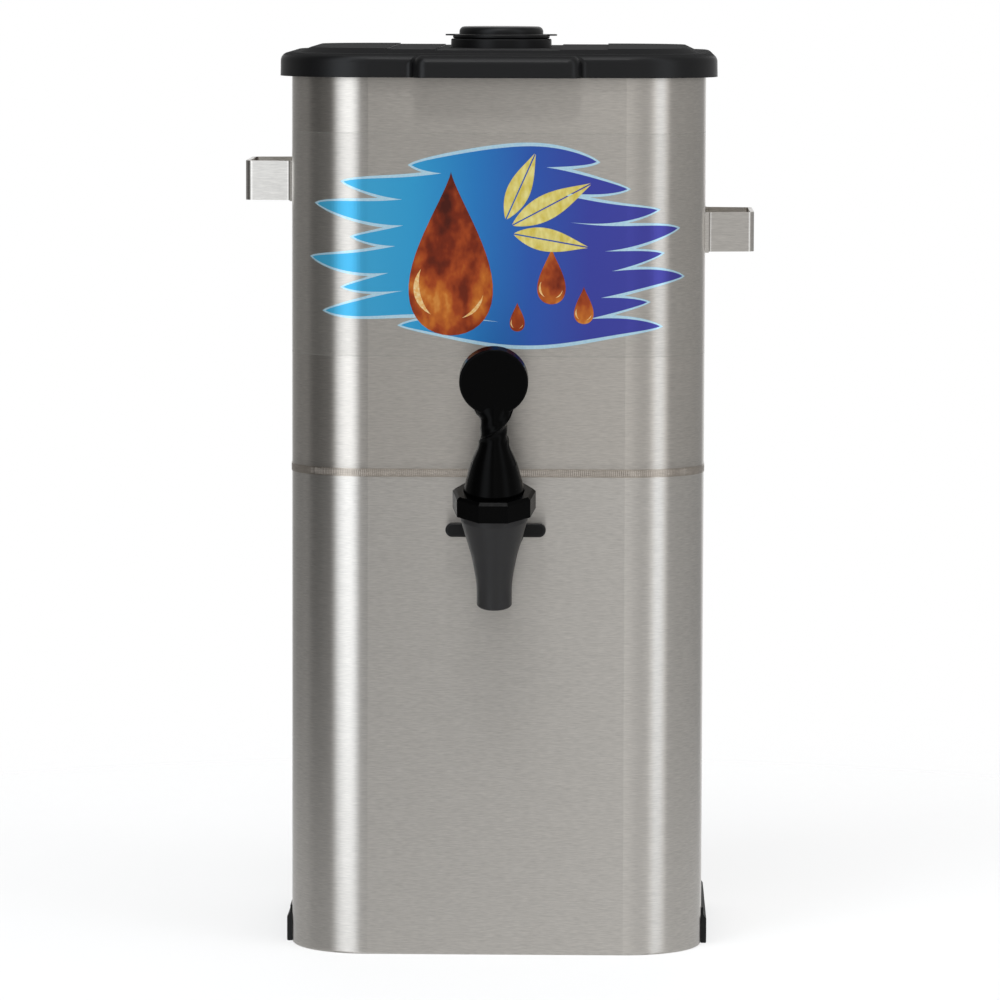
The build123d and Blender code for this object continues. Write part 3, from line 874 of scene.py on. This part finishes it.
def camera():
    """The photograph's camera: in front, a little to the right, and tilted down."""
    lens = bpy.data.cameras.new("camera")
    made = bpy.data.objects.new("camera", lens)
    bpy.context.scene.collection.objects.link(made)
    bpy.context.scene.camera = made
    lens.sensor_width = SENSOR
    lens.lens = SENSOR * FOCAL_PIXELS / PIXELS
    turn = math.radians(CAMERA_AZIMUTH)
    place = Vector(
        (CAMERA_DISTANCE * math.sin(turn), -CAMERA_DISTANCE * math.cos(turn), CAMERA_HEIGHT)
    )
    level = Matrix.Rotation(turn, 4, "Z") @ Matrix.Rotation(math.radians(90), 4, "X")
    down = Matrix.Rotation(math.radians(-CAMERA_PITCH), 4, "X")
    roll = Matrix.Rotation(math.radians(CAMERA_ROLL), 4, "Z")
    made.matrix_world = Matrix.Translation(place) @ level @ down @ roll


# Bare sheet, brushed level with a belt: each light stands on it as a soft upright band
body_steel = brushed_stainless("brushed_304_stainless", "c9c5bf")
# The upper sheet comes from another coil, a shade warmer and darker
upper_steel = brushed_stainless("brushed_304_stainless_upper", "c5c0b9")
heat_haze(upper_steel)
# A planished weld: the heat leaves it a warm tint, and its scratches show more
tinted_steel = brushed_stainless("heat_tinted_weld", "aea59a", rub=1.5)
# The crests of its ripples are rubbed paler
ripple_steel = brushed_stainless("rippled_weld", "bbb2a8", rub=1.5)
# Bent strap, brushed as the sheets are: soft bands along its bends
strap_steel = brushed_stainless("brushed_strap", "c9c5bf")
# Polypropylene from a textured mould: satin walls, and a top too coarse to mirror the room
lid_plastic = polymer("textured_lid_polypropylene", "0d0d0e", 0.34, coarse_top=0.55)
# Moulded rubber with a satin skin: a soft light along its round edges
plug_rubber = polymer("moulded_plug_rubber", "0a0a0b", 0.38)
# Extruded rubber: greyer than the lid, and matt
strip_rubber = polymer("extruded_strip_rubber", "161616", 0.6)
# Polished ABS, with only a faint swell 2 mm wide: deep black, with points of light on its edges
tap_black = polymer(
    "polished_black_abs", "020202", 0.24, specular=0.055, grain=2 * MM, relief=0.01
)
# Satin ABS in charcoal: a wide soft sheen shows the cone of the valve
valve_plastic = polymer("satin_charcoal_abs", "292828", 0.4, specular=0.25)
# Satin ABS in black: a narrower sheen shows the nut's wings
wing_nut_plastic = polymer("satin_black_abs", "0e0e0e", 0.35, specular=0.25)
# Turned bar: bright, with rings a fraction of a millimetre apart that blur what it mirrors
turned_steel = worked_metal("turned_stainless", "c8c6c0", 0.28, (3 * MM, 0.3 * MM, 3 * MM))
# Moulded gasket rubber: matt and nearly black
gasket_rubber = polymer("moulded_gasket_rubber", "1c1c1c", 0.6)
# Moulded silicone: pale, with a soft sheen
silicone = polymer("moulded_silicone", "d8d4c8", 0.5)
# Turned acetal: off-white and waxy
stem_acetal = polymer("turned_acetal", "dedcd4", 0.4)
# Drawn wire: grey and satin. Its grain is finer than 1 mm, and is drawn coarser here
spring_wire = worked_metal("drawn_spring_wire", "a8a8a6", 0.3, (1 * MM, 1 * MM, 1 * MM))

paint(body_steel, "lower_base_shell", "tank_floor")
paint(upper_steel, "upper_tank_shell")
paint(tinted_steel, "weld_seam")
paint(strap_steel, "left_handle", "right_handle")
paint(lid_plastic, "lid")
paint(plug_rubber, "brew_plug")
paint(strip_rubber, "left_edge_strip", "right_edge_strip")
paint(tap_black, "tap_lever", "bonnet")
paint(valve_plastic, "valve_body")
paint(wing_nut_plastic, "wing_nut")
paint(turned_steel, "tap_shank", "shank_lock_nut", "lever_pin")
paint(gasket_rubber, "shank_outer_gasket", "shank_inner_gasket")
paint(silicone, "inlet_o_ring", "seat_cup")
paint(stem_acetal, "valve_stem")

coil_spring(spring_wire)
weld_ripples(ripple_steel)
film()
printed_waves()
printed_drops()
printed_leaves()
studio()
softbox("front_softbox", azimuth=-1, elevation=54, size=0.28, radiance=11.0)
softbox("top_softbox", azimuth=4, elevation=74, size=1.0, radiance=1.2)
floor()
camera()

bpy.context.scene.view_settings.view_transform = "Standard"
